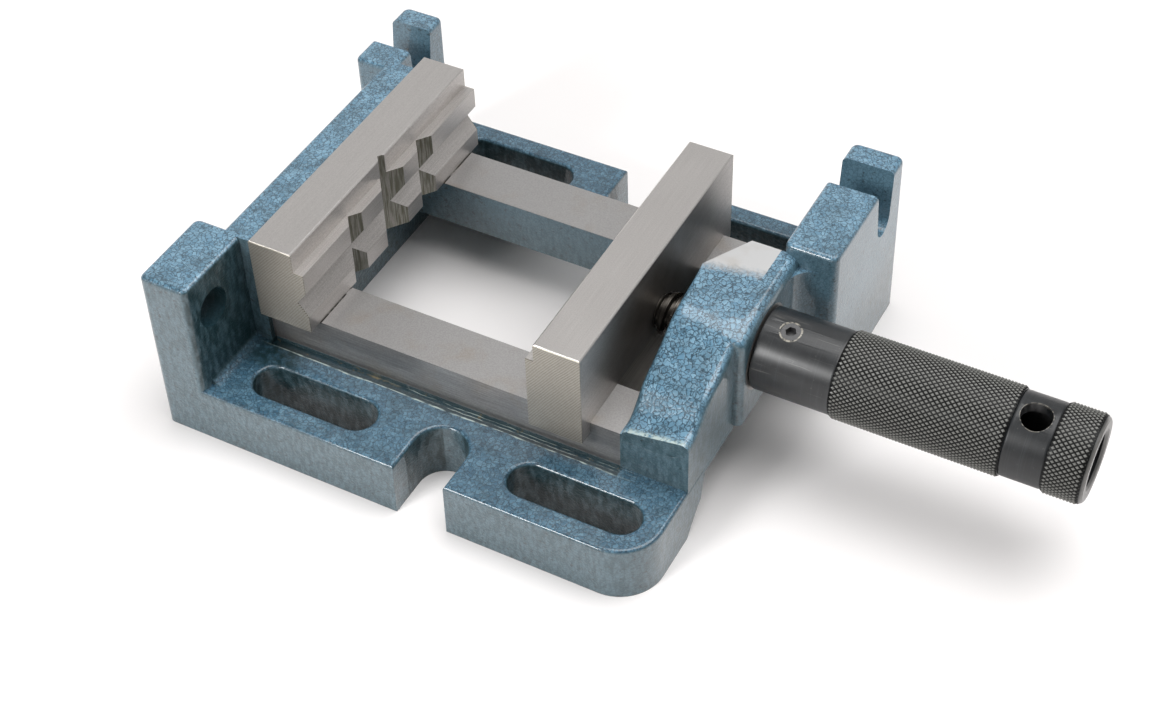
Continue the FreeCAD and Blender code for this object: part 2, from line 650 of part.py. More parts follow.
def handle_sleeve():
    """Hollow handle with two plain and two knurled bands, turned as one piece."""
    bands = (
        (HANDLE_LEFT, HUB_LENGTH, HUB_RADIUS),
        (GRIP_LEFT, GRIP_LENGTH, GRIP_RADIUS),
        (NECK_LEFT, NECK_LENGTH, NECK_RADIUS),
        (COLLAR_LEFT, COLLAR_LENGTH, COLLAR_RADIUS),
    )
    outline = [V(HANDLE_LEFT, 0, NUT_TAIL_RADIUS + RUNNING)]
    for start, length, radius in bands:
        last = start + length
        bevel = END_CHAMFER if last == HANDLE_RIGHT else BAND_CHAMFER
        outline += [
            V(start, 0, radius - BAND_CHAMFER),
            V(start + BAND_CHAMFER, 0, radius),
            V(last - bevel, 0, radius),
            V(last, 0, radius - bevel),
        ]
    shelf = HANDLE_LEFT + NUT_TAIL_LENGTH + LOOSE
    outline += [
        V(HANDLE_RIGHT, 0, HANDLE_BORE_RADIUS + BAND_CHAMFER),
        V(HANDLE_RIGHT - BAND_CHAMFER, 0, HANDLE_BORE_RADIUS),
        V(shelf, 0, HANDLE_BORE_RADIUS),
        V(shelf, 0, NUT_TAIL_RADIUS + RUNNING),
    ]
    sleeve = face_from(outline).revolve(V(0, 0, 0), X, 360)
    sleeve.translate(Z * SCREW_Z)
    cross = around_handle(CROSS_HOLE_ANGLE) * (COLLAR_RADIUS + PAST)
    middle = V(CROSS_HOLE_X, 0, SCREW_Z)
    grub_line = around_handle(GRUB_ANGLE)
    grub_middle = V(GRUB_X, 0, SCREW_Z)
    holes = [
        rod(CROSS_HOLE_RADIUS, middle - cross, middle + cross),
        rod(GRUB_RADIUS, grub_middle, grub_middle + grub_line * (HUB_RADIUS + PAST)),
    ]
    return sleeve.cut(Part.makeCompound(holes))


def handle_grub_screw():
    """Socket screw that clamps the handle on the nut's tail."""
    axis = around_handle(GRUB_ANGLE)
    middle = V(GRUB_X, 0, SCREW_Z)
    top = middle + axis * (HUB_RADIUS - LOOSE)
    solid = rod(GRUB_RADIUS - RUNNING, middle + axis * (NUT_TAIL_RADIUS + RUNNING), top)
    return solid.cut(hex_socket(GRUB_SOCKET_ACROSS, GRUB_SOCKET_DEPTH, top, axis))


def export(shape, name):
    """Writes one node in the frame of the row."""
    placed = shape.copy()
    placed.translate(V(-SLOTS_MIDDLE, 0, 0))
    placed.exportStep("parts/" + name + ".step")


export(vise_body(), "vise_body")
export(fixed_jaw(), "fixed_jaw")
export(fixed_jaw_screws(), "fixed_jaw_screws")
export(moving_jaw(), "moving_jaw")
export(guide_block(), "guide_block")
export(keeper_plate(), "keeper_plate")
export(keeper_screws(), "keeper_screws")
export(lead_screw(), "lead_screw")
export(screw_pin(), "screw_pin")
export(nut_bush(), "nut_bush")
export(thrust_washer(), "thrust_washer")
export(handle_sleeve(), "handle_sleeve")
export(handle_grub_screw(), "handle_grub_screw")
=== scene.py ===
import logging
import math
from dataclasses import dataclass
from enum import Enum
from typing import Callable, Iterable, Sequence

import bmesh
import bpy
from mathutils import Matrix, Vector

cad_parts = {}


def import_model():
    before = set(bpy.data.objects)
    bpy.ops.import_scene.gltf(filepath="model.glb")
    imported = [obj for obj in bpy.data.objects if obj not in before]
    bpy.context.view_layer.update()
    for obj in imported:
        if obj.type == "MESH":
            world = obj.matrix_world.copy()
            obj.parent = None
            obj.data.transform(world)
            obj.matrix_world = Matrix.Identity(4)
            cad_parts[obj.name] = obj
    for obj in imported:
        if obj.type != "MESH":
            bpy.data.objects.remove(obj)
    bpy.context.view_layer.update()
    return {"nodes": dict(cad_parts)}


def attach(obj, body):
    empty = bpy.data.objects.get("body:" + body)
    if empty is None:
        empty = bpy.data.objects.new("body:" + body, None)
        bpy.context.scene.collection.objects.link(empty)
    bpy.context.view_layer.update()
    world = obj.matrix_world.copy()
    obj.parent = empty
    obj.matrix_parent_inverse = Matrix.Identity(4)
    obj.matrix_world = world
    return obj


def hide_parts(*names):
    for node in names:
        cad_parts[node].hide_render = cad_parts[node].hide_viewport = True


# Drill press vise. Sizes are in millimetres from the fixed jaw's seat, as in the part's source:
# x runs towards the handle, y across the vise away from the camera and z up from the table.

LOG = logging.getLogger("vise")
MM = 0.001
SLOTS_MIDDLE = 69.3
SCREW_Z = 39.5
TURN = 2 * math.pi
SCREEN_KNEE = 0.04045

Colour = tuple[float, float, float]


def place(x: float, y: float, z: float) -> Vector:
    """Turns a place in millimetres from the jaw's seat into metres in the frame."""
    return Vector(((x - SLOTS_MIDDLE) * MM, y * MM, z * MM))


def lit(value: float) -> float:
    """Turns one value of a screen colour, 0 to 1, into a light value."""
    return value / 12.92 if value < SCREEN_KNEE else ((value + 0.055) / 1.055) ** 2.4


def tone(red: int, green: int, blue: int) -> Colour:
    """Turns a colour as it looks on a screen, 0 to 255, into light values."""
    return tuple(lit(value / 255) for value in (red, green, blue))


def scaled(colour: Colour, factor: float) -> Colour:
    """Makes a colour darker or lighter."""
    return tuple(value * factor for value in colour)


class Around(Enum):
    """The line that a grain or a lathe mark follows."""

    ALONG_X = 0
    ALONG_Z = 2


# --- Node trees ---


def operator(operation: str, flipped: bool = False) -> Callable[["Num", "Num | float"], "Num"]:
    """Makes a method that adds one Math node.

    Args:
        operation: What the node does.
        flipped: Whether the other number stands first.

    Returns:
        The method.
    """

    def method(this: "Num", other: "Num | float") -> "Num":
        """Adds the node to the tree of the number."""
        return this.kit.maths(operation, *((other, this) if flipped else (this, other)))

    return method


class Num:
    """A number inside a node tree, on which Python's operators add Math nodes."""

    __add__ = operator("ADD")
    __radd__ = operator("ADD", flipped=True)
    __sub__ = operator("SUBTRACT")
    __rsub__ = operator("SUBTRACT", flipped=True)
    __mul__ = operator("MULTIPLY")
    __rmul__ = operator("MULTIPLY", flipped=True)
    __truediv__ = operator("DIVIDE")
    __pow__ = operator("POWER")
    least = operator("MINIMUM")
    most = operator("MAXIMUM")

    def __init__(self, kit: "NodeKit", socket: bpy.types.NodeSocket) -> None:
        """Keeps the socket that holds the number."""
        self.kit = kit
        self.socket = socket

    def __abs__(self) -> "Num":
        """Drops the sign."""
        return self.kit.maths("ABSOLUTE", self)

    def rise(self, low: float, high: float) -> "Num":
        """Smooth step from 0 below one value to 1 above another."""
        return self.kit.smooth(self, low, high)

    def fall(self, low: float, high: float) -> "Num":
        """Smooth step from 1 below one value to 0 above another."""
        return 1 - self.kit.smooth(self, low, high)

    def inside(self, low: float, high: float, soft: float = 0.1) -> "Num":
        """1 between two values and 0 outside them."""
        return self.rise(low - soft, low + soft) * self.fall(high - soft, high + soft)


Value = Num | bpy.types.NodeSocket | float | int | str | tuple


class NodeKit:
    """Adds nodes to one tree and links them."""

    def __init__(self, tree: bpy.types.NodeTree) -> None:
        """Starts with an empty tree."""
        self.tree = tree
        tree.nodes.clear()

    def make(self, kind: str, settings: dict | None = None, sockets: dict | None = None) -> bpy.types.Node:
        """Adds one node.

        Args:
            kind: The node's type name.
            settings: Properties that are set first.
            sockets: Values or links, by the input's number, identifier or name.

        Returns:
            The new node.
        """
        node = self.tree.nodes.new(kind)
        for key, value in (settings or {}).items():
            setattr(node, key, value)
        for key, value in (sockets or {}).items():
            self._feed(self._find(node.inputs, key), value)
        return node

    def maths(self, operation: str, *values: "Num | float") -> Num:
        """Adds a Math node and returns its result."""
        node = self.make("ShaderNodeMath", {"operation": operation}, dict(enumerate(values)))
        return Num(self, node.outputs[0])

    def smooth(self, value: "Num | float", low: float, high: float) -> Num:
        """Adds a smooth step between two values."""
        node = self.make("ShaderNodeMapRange", {"interpolation_type": "SMOOTHSTEP"},
                         {"Value": value, "From Min": low, "From Max": high})
        return Num(self, node.outputs[0])

    def vector_maths(self, operation: str, *values: Value) -> bpy.types.NodeSocket:
        """Adds a Vector Math node and returns its vector."""
        node = self.make("ShaderNodeVectorMath", {"operation": operation}, dict(enumerate(values)))
        return node.outputs[0]

    def scaled(self, vector: Value, factor: Value) -> bpy.types.NodeSocket:
        """Multiplies a vector by one number."""
        node = self.make("ShaderNodeVectorMath", {"operation": "SCALE"}, {0: vector, "Scale": factor})
        return node.outputs[0]

    def vector(self, x: Value, y: Value, z: Value) -> bpy.types.NodeSocket:
        """Builds a vector from three numbers."""
        return self.make("ShaderNodeCombineXYZ", None, {0: x, 1: y, 2: z}).outputs[0]

    def parts(self, vector: Value) -> tuple[Num, Num, Num]:
        """Splits a vector into three numbers."""
        node = self.make("ShaderNodeSeparateXYZ", None, {0: vector})
        return tuple(Num(self, socket) for socket in node.outputs)

    def _find(self, inputs: bpy.types.bpy_prop_collection, key: int | str) -> bpy.types.NodeSocket:
        """Finds an input by its number, identifier or name."""
        if isinstance(key, int):
            return inputs[key]
        for socket in inputs:
            if socket.identifier == key:
                return socket
        return inputs[key]

    def _feed(self, socket: bpy.types.NodeSocket, value: Value) -> None:
        """Links a value to an input, or sets it there."""
        if isinstance(value, Num):
            self.tree.links.new(value.socket, socket)
        elif isinstance(value, bpy.types.NodeSocket):
            self.tree.links.new(value, socket)
        elif isinstance(value, tuple) and socket.type == "RGBA" and len(value) == 3:
            socket.default_value = (*value, 1.0)
        else:
            socket.default_value = value


class SurfaceKit(NodeKit):
    """Nodes of one material."""

    def __init__(self, name: str) -> None:
        """Makes the material, with its spot in millimetres from the jaw's seat and the way it faces."""
        self.material = bpy.data.materials.new(name)
        self.material.use_nodes = True
        super().__init__(self.material.node_tree)
        coordinates = self.make("ShaderNodeTexCoord").outputs
        self.point = coordinates["Object"]
        x, y, z = self.parts(self.point)
        self.spot = (x / MM + SLOTS_MIDDLE, y / MM, z / MM)
        self.facing = self.parts(coordinates["Normal"])

    def cloud(self, vector: Value, scale: float, detail: float) -> bpy.types.bpy_prop_collection:
        """Adds a Noise Texture node and returns its outputs."""
        return self.make("ShaderNodeTexNoise", None,
                         {"Vector": vector, "Scale": scale, "Detail": detail}).outputs

    def noise(self, size: float, detail: float = 2.0) -> Num:
        """Cloudy noise from 0 to 1 with spots of about one size in millimetres."""
        return Num(self, self.cloud(self.point, 1 / (size * MM), detail)["Fac"])

    def stretched(self, sizes: tuple[float, float, float], detail: float = 2.0) -> Num:
        """Noise whose spots have three different lengths in millimetres along x, y and z."""
        scale = tuple(1 / (size * MM) for size in sizes)
        mapped = self.make("ShaderNodeMapping", None, {"Vector": self.point, "Scale": scale}).outputs[0]
        return Num(self, self.cloud(mapped, 1.0, detail)["Fac"])

    def shifted(self, amount: float, size: float) -> bpy.types.NodeSocket:
        """Object coordinates pushed about by noise, in millimetres."""
        colour = self.cloud(self.point, 1 / (size * MM), 2.0)["Color"]
        centred = self.vector_maths("SUBTRACT", colour, (0.5, 0.5, 0.5))
        return self.vector_maths("ADD", self.point, self.scaled(centred, amount * MM))

    def cells(self, feature: str, size: float, vector: Value) -> bpy.types.bpy_prop_collection:
        """Adds a Voronoi node with cells of about one size in millimetres and returns its outputs."""
        return self.make("ShaderNodeTexVoronoi", {"feature": feature},
                         {"Vector": vector, "Scale": 1 / (size * MM)}).outputs

    def cell_edge(self, size: float, vector: Value) -> Num:
        """Distance from the nearest border between cells, in cells."""
        return Num(self, self.cells("DISTANCE_TO_EDGE", size, vector)["Distance"])

    def cell_shade(self, size: float, vector: Value) -> Num:
        """A number from 0 to 1 that is the same all over one cell."""
        return self.parts(self.cells("F1", size, vector)["Color"])[0]

    def mix(self, factor: Value, first: Value, second: Value) -> bpy.types.NodeSocket:
        """Mixes two colours: the first at 0 and the second at 1."""
        node = self.make("ShaderNodeMix", {"data_type": "RGBA"},
                         {"Factor_Float": factor, "A_Color": first, "B_Color": second})
        return next(socket for socket in node.outputs if socket.identifier == "Result_Color")

    def blend(self, factor: "Num | float", first: "Num | float", second: "Num | float") -> Num:
        """Mixes two numbers."""
        return (1 - factor) * first + factor * second

    def square_reach(self, first: Num, second: Num) -> Num:
        """Square of the distance from a line that two offsets are measured from."""
        return first * first + second * second

    def bump(self, height: Value, depth: float, strength: float) -> bpy.types.NodeSocket:
        """Turns a height from 0 to 1 into a bump of a depth in millimetres."""
        sockets = {"Height": height, "Strength": strength, "Distance": depth * MM}
        return self.make("ShaderNodeBump", None, sockets).outputs[0]

    def finish(self, **sockets: Value) -> bpy.types.Material:
        """Ends the tree in one shader.

        Args:
            **sockets: Values or links of the shader's inputs, with _ for a space.

        Returns:
            The finished material.
        """
        named = {key.replace("_", " "): value for key, value in sockets.items()}
        shader = self.make("ShaderNodeBsdfPrincipled", None, named)
        self.make("ShaderNodeOutputMaterial", None, {"Surface": shader.outputs[0]})
        return self.material


class ShapeKit(NodeKit):
    """Geometry nodes with named inputs, ended in one mesh."""

    def __init__(self, name: str) -> None:
        """Makes the tree with its geometry output."""
        tree = bpy.data.node_groups.new(name, "GeometryNodeTree")
        super().__init__(tree)
        tree.interface.new_socket("Geometry", in_out="OUTPUT", socket_type="NodeSocketGeometry")
        self.entry = self.make("NodeGroupInput")
        self.values: dict[str, float | int | bpy.types.Material] = {}

    def input(self, name: str, value: float | int | bpy.types.Material) -> Num:
        """Adds a named input with its value.

        Args:
            name: The input's name.
            value: A length in millimetres, a count or a material.

        Returns:
            The input, with a length in metres.
        """
        kinds = {float: "NodeSocketFloat", int: "NodeSocketInt"}
        self.tree.interface.new_socket(name, in_out="INPUT",
                                       socket_type=kinds.get(type(value), "NodeSocketMaterial"))
        self.values[name] = value * MM if isinstance(value, float) else value
        return Num(self, self.entry.outputs[name])

    def bend(self, sheet: Value, along: Num, radius: Num, angle: Num, weld: float, material: Num) -> None:
        """Bends a sheet round the screw line, closes its seam and ends the tree.

        Args:
            sheet: The flat geometry.
            along: Where each point lies along the screw line.
            radius: How far it lies from the line.
            angle: Where it lies round the line.
            weld: Distance in millimetres below which points become one.
            material: The finish.
        """
        bent = self.vector(along, radius * self.maths("SINE", angle),
                           SCREW_Z * MM + radius * self.maths("COSINE", angle))
        moved = self.make("GeometryNodeSetPosition", None, {"Geometry": sheet, "Position": bent})
        closed = self.make("GeometryNodeMergeByDistance", None,
                           {"Geometry": moved.outputs[0], "Distance": weld * MM})
        real = self.make("GeometryNodeRealizeInstances", None, {0: closed.outputs[0]}).outputs[0]
        finished = self.make("GeometryNodeSetMaterial", None, {"Geometry": real, "Material": material})
        self.make("NodeGroupOutput", None, {0: finished.outputs[0]})

    def grow(self, name: str) -> bpy.types.Object:
        """Runs the tree and returns its result as an object with a plain mesh."""
        thing = shown(name, bpy.data.meshes.new(name))
        modifier = thing.modifiers.new("growth", "NODES")
        modifier.node_group = self.tree
        for item in self.tree.interface.items_tree:
            if item.in_out == "INPUT":
                modifier[item.identifier] = self.values[item.name]
        return settled(thing)


# --- Finishes ---


@dataclass(frozen=True)
class CastFinish:
    """Blue hammer paint on rough iron, with machined faces left bare."""

    cell: Colour = tone(58, 94, 116)
    pale_cell: Colour = tone(88, 124, 144)
    vein: Colour = tone(30, 50, 62)
    hump_cell: Colour = tone(92, 132, 156)
    hump_pale: Colour = tone(120, 158, 180)
    wall: Colour = tone(62, 86, 94)
    wall_pale: Colour = tone(84, 108, 118)
    # Painted light: walls towards the far side and higher up are lightened to this colour.
    far_wall_painted_light: Colour = tone(96, 130, 148)
    # Painted shade in the window, the slots, the post's hole, behind the near post and at its foot; it also
    # darkens a strip over the groove and large random patches of the flat paint.
    shade: Colour = tone(26, 50, 55)
    iron: Colour = tone(176, 174, 173)
    milled: Colour = tone(208, 208, 208)
    grime: Colour = tone(34, 34, 28)
    rust: Colour = tone(150, 122, 66)
    old_rust: Colour = tone(176, 156, 116)
    # Pale colour of the painted highlights along the groove's edges and the hump's front top edge.
    ridge: Colour = tone(196, 212, 206)
    # Painted highlight lines in the groove: distance out from the rail, width and start along x, in
    # millimetres.
    highlight_lines: tuple[tuple[float, float, float], ...] = (
        (0.35, 0.12, 45.0),
        (1.5, 0.1, 55.0),
        (3.4, 0.24, 4.0),
    )
    fine_cell: float = 1.35
    coarse_cell: float = 1.55
    rail_outer: float = 45.0
    bed_end: float = 119.8
    groove_end: float = 120.5
    groove_height: tuple[float, float] = (18.2, 19.7)
    jaw_screw: tuple[float, float] = (34.0, 48.5)
    post_hole: tuple[float, float] = (-63.5, 45.3)

    def machined(self, kit: SurfaceKit) -> Num:
        """Mask of the faces that were cut after painting."""
        x, y, z = kit.spot
        side = abs(y)
        ragged = (kit.noise(1.2, detail=3.0) - 0.5) * 0.5
        bed = x.inside(-0.4, self.bed_end)
        top = bed * side.inside(27.5, 45.2) * z.inside(33.2, 33.7)
        flank = bed * (side + ragged * 0.2).inside(44.8, 45.3) * (z + ragged).inside(19.9, 33.8)
        pad = (z + ragged * 0.1).rise(55.75, 55.95) * (y + ragged * 8 - x * 0.18 + 21.0).rise(4.0, 10.0)
        pad = pad * (x + ragged * 0.6).inside(119.0, 138.4) * y.inside(2.0, 24.0, 0.5)
        bore = kit.square_reach(y, z - SCREW_Z).fall(178.0, 182.0) * x.inside(119.5, 146.0)
        screw_y, screw_z = self.jaw_screw
        head = kit.square_reach(side - screw_y, z - screw_z).fall(27.0, 29.0) * x.inside(-11.9, 0.5)
        foot = z.fall(0.05, 0.15)
        return top.most(flank).most(pad).most(bore).most(head).most(foot)

    def groove(self, kit: SurfaceKit, paint: Value) -> Value:
        """Darkens a strip over the groove at the rails' feet and lays rust and thin painted highlight lines
        on it.
        """
        x, y, z = kit.spot
        wave = (kit.noise(9.0) - 0.5) * 1.2 + (kit.noise(1.6) - 0.5) * 0.4
        out = abs(y) - self.rail_outer + wave
        level = z.inside(*self.groove_height)
        strip = x.inside(-0.5, self.groove_end) * level * out.inside(-0.6, 3.4, 0.25)
        paint = kit.mix(strip * 0.8, paint, self.shade)
        speck = kit.noise(2.2, detail=3.0)
        paint = kit.mix(strip * speck.rise(0.62, 0.75) * out.fall(1.2, 1.8) * 0.35, paint, self.rust)
        # Painted highlight: thin pale lines along the edges in the groove.
        for spot, width, start in self.highlight_lines:
            ridge = abs(out - spot).fall(width * 0.5, width * 1.5) * x.inside(start, self.groove_end, 9.0)
            paint = kit.mix(ridge * level * kit.noise(4.0).rise(0.35, 0.6) * 0.8, paint, self.ridge)
        old = x.inside(33.0, 44.0, 3.0) * out.inside(0.3, 1.0, 0.3) * level
        return kit.mix(old * kit.noise(3.0).rise(0.3, 0.6) * 0.6, paint, self.old_rust)

    def hammered(self, kit: SurfaceKit, level: Num, patch: Num) -> tuple[Value, Num]:
        """Paints cells with dark veins on the upper faces, streaks on the walls, painted light on the far
        walls and a painted highlight on the hump's front edge.

        Args:
            kit: The material's nodes.
            level: 1 on faces that look up and 0 on walls.
            patch: Noise of large patches.

        Returns:
            The paint's colour, and the distance from the cells' borders.
        """
        x, y, z = kit.spot
        warped = kit.vector_maths("ADD", kit.shifted(1.5, 1.9), kit.shifted(0.7, 0.6))
        warped = kit.vector_maths("SUBTRACT", warped, kit.point)
        high = z.rise(30.0, 36.0) * level
        hump = x.inside(119.0, 143.5) * y.fall(22.0, 24.0) * high
        fine, coarse = self.fine_cell, self.coarse_cell
        edge = kit.blend(hump, kit.cell_edge(fine, warped), kit.cell_edge(coarse, warped))
        shade = kit.blend(hump, kit.cell_shade(fine, warped), kit.cell_shade(coarse, warped))
        wrinkle = abs(kit.noise(2.6, detail=3.0) - 0.5).fall(0.0, 0.022) * 0.8
        vein = (edge.fall(0.0, 0.14) * kit.noise(1.1).rise(0.25, 0.5)).most(wrinkle)
        flat_paint = kit.mix(shade, self.cell, self.pale_cell)
        flat_paint = kit.mix(high, flat_paint, kit.mix(shade, self.hump_cell, self.hump_pale))
        flat_paint = kit.mix((patch - 0.45).most(0.0) * 1.6, flat_paint, self.shade)
        streak = kit.stretched((1.3, 1.3, 3.6), 4.0)
        wall_paint = kit.mix(streak.rise(0.36, 0.64), self.wall, self.wall_pale)
        # Painted light: lightens the walls towards the far side and higher up.
        wall_paint = kit.mix(y.rise(-30.0, 60.0) * z.rise(15.0, 35.0) * 0.7, wall_paint, self.far_wall_painted_light)
        paint = kit.mix(level, wall_paint, flat_paint)
        paint = kit.mix(vein * (0.4 + 0.45 * level + 0.1 * hump), paint, self.vein)
        fleck = kit.noise(1.5, detail=3.0).rise(0.6, 0.7) * (1 - level) * 0.6
        paint = kit.mix(fleck, paint, self.grime)
        # Painted highlight: a pale sheen along the hump's front top edge.
        rim = x.inside(121.0, 140.0, 2.0) * z.rise(31.0, 33.0) * y.fall(-44.4, -42.6)
        rim = rim * kit.facing[2].rise(0.2, 0.6) * kit.noise(1.0, detail=3.0).rise(0.3, 0.6)
        return kit.mix(rim * 0.75, paint, self.ridge), edge

    def shadow(self, kit: SurfaceKit, level: Num) -> Num:
        """Mask of the painted shade inside the openings, behind the near post and at its foot."""
        x, y, z = kit.spot
        side = abs(y)
        window = side.fall(27.6, 27.9) * x.inside(0.0, 120.0) * z.rise(14.0, 17.5)
        slots = side.inside(54.8, 68.3) * x.inside(-1.0, 138.0) * z.fall(18.0, 19.2)
        post = x.inside(-8.0, 1.0) * y.fall(-46.0, -44.0) * kit.facing[0].rise(0.3, 0.7) * z.rise(19.0, 22.0)
        mottle = kit.stretched((1.8, 1.8, 4.5), 4.0).rise(0.4, 0.62)
        painted_shade = (window * 0.4).most(slots.most(post) * (1 - 0.6 * mottle)) * (1 - level)
        hole_y, hole_z = self.post_hole
        hole = kit.square_reach(y - hole_y, z - hole_z).fall(41.5, 43.0) * x.fall(-3.5, -3.0)
        foot = x.inside(-4.0, 13.0, 5.0) * y.inside(-57.0, -43.0, 3.0) * level * z.fall(24.0, 28.0)
        return painted_shade.most(hole * 0.9).most(foot * (1 - 0.5 * mottle))

    def bare_iron(self, kit: SurfaceKit, level: Num, grain: Num) -> Value:
        """Colours the machined faces: drawn flanks, the bright pad, grime at the jaw and faint stains."""
        x, _, z = kit.spot
        steel = kit.mix(grain.rise(0.3, 0.7), scaled(self.iron, 0.82), self.iron)
        drawn = kit.stretched((16.0, 0.6, 0.35), 3.0).rise(0.35, 0.65) * (1 - level)
        steel = kit.mix(drawn * 0.45, steel, scaled(self.iron, 0.45))
        steel = kit.mix(z.rise(54.0, 55.0), steel, self.milled)
        seam = x.inside(17.9, 18.65) * z.inside(33.0, 34.0)
        steel = kit.mix(seam * kit.noise(2.0).rise(0.3, 0.5), steel, self.grime)
        stain = kit.noise(9.0, detail=4.0).rise(0.5, 0.75)
        return kit.mix(stain * 0.15, steel, self.rust)

    def build(self, name: str) -> bpy.types.Material:
        """Builds the material."""
        kit = SurfaceKit(name)
        bare = self.machined(kit)
        level = kit.facing[2].rise(0.35, 0.8)
        patch = kit.noise(7.0, detail=3.0)
        grain = kit.stretched((0.5, 0.35, 0.5), 3.0)
        scratch = kit.stretched((0.25, 12.0, 0.5))
        painted_shade = self.shadow(kit, level)
        paint, edge = self.hammered(kit, level, patch)
        # Painted shade in the openings and corners, then the groove's strip.
        paint = self.groove(kit, kit.mix(painted_shade, paint, self.shade))
        lump = patch * 0.5 + kit.noise(2.4) * 0.2 + edge.rise(0.0, 0.3) * 0.3
        paint_bump = kit.bump(lump, 0.3, 0.6)
        steel_bump = kit.bump(grain * 0.5 + scratch * 0.5, 0.012, 0.5)
        return kit.finish(
            Base_Color=kit.mix(bare, paint, self.bare_iron(kit, level, grain)),
            Metallic=bare * 0.9,
            Roughness=kit.blend(bare, 0.24 + 0.16 * patch, 0.4 + 0.1 * grain),
            Normal=kit.mix(bare, paint_bump, steel_bump),
            Coat_Weight=(1 - bare) * 0.8 * (1 - 0.7 * painted_shade),
            Coat_Roughness=0.07,
        )


@dataclass(frozen=True)
class GroundSteel:
    """Ground steel with fine lines along the jaw on top, milled lines on its ends and painted shade on the
    moving jaw's back.
    """

    bright: Colour = tone(208, 204, 201)
    dim: Colour = tone(190, 186, 183)
    warm: Colour = tone(190, 185, 176)
    scored: Colour = tone(130, 127, 118)
    # Painted shade: the dark reflection laid on the moving jaw's back.
    painted_shade: Colour = tone(74, 68, 62)
    tooled: Colour = tone(96, 96, 82)
    feed: float = 0.62
    top: float = 62.0
    back_shade_from: float | None = None

    def build(self, name: str) -> bpy.types.Material:
        """Builds the material."""
        kit = SurfaceKit(name)
        x, y, z = kit.spot
        upper = z.rise(self.top, self.top + 0.3)
        end = abs(y).rise(49.6, 49.8)
        fine = kit.stretched((0.3, 0.5, 0.3), 3.0) * 0.6 + kit.stretched((0.2, 16.0, 0.2), 2.0) * 0.4
        milled = kit.maths("SINE", (z + kit.noise(9.0) * 0.8) * (TURN / self.feed)) * 0.4 + 0.5
        milled = milled + (kit.noise(0.8) - 0.5) * 0.4
        grain = kit.blend(end, fine, milled)
        cloud = kit.noise(14.0, detail=3.0)
        metal = kit.mix(grain.rise(0.25, 0.75), self.dim, self.bright)
        lines = grain.rise(0.3, 0.7)
        side = kit.mix(lines, scaled(self.dim, 0.8), scaled(self.bright, 0.95))
        side = kit.mix(end, side, kit.mix(lines, self.scored, self.warm))
        colour = kit.mix(upper * (1 - end), side, metal)
        across, depth, _ = kit.facing
        cut = across.inside(0.3, 0.95) * (0 - depth).rise(0.15, 0.4) * (1 - end)
        tooled = kit.stretched((0.5, 0.5, 7.0), 3.0)
        colour = kit.mix(cut * (0.55 + 0.4 * tooled.rise(0.35, 0.65)), colour, self.tooled)
        # Painted shade: the moving jaw's back darkens where it faces the dark casting.
        if self.back_shade_from is not None:
            back_shade = x.rise(self.back_shade_from - 0.2, self.back_shade_from) * (1 - upper) * abs(y).fall(22.0, 50.0)
            colour = kit.mix(back_shade * (0.45 + 0.4 * cloud), colour, self.painted_shade)
        height = kit.blend(end, fine, milled.rise(0.35, 0.65))
        return kit.finish(
            Base_Color=colour,
            Metallic=0.92,
            Roughness=0.24 + 0.1 * grain + 0.06 * cloud + 0.12 * (1 - upper),
            Normal=kit.bump(height, 0.035, 0.6),
        )


@dataclass(frozen=True)
class TurnedSteel:
    """Lathe-turned metal with fine rings round the screw line or another axis."""

    bright: Colour = tone(170, 165, 158)
    dim: Colour = tone(118, 112, 104)
    roughness: float = 0.32
    metallic: float = 0.95
    rings: Around = Around.ALONG_X
    ring_width: float = 0.25
    ring_run: float = 26.0

    def build(self, name: str) -> bpy.types.Material:
        """Builds the material."""
        kit = SurfaceKit(name)
        sizes = [self.ring_run] * 3
        sizes[self.rings.value] = self.ring_width
        grain = kit.stretched(tuple(sizes), 3.0)
        cloud = kit.noise(5.0, detail=3.0)
        return kit.finish(
            Base_Color=kit.mix(grain.rise(0.3, 0.7) * 0.7 + cloud * 0.3, self.dim, self.bright),
            Metallic=self.metallic,
            Roughness=self.roughness + 0.12 * cloud,
            Normal=kit.bump(grain, 0.02, 0.5),
        )


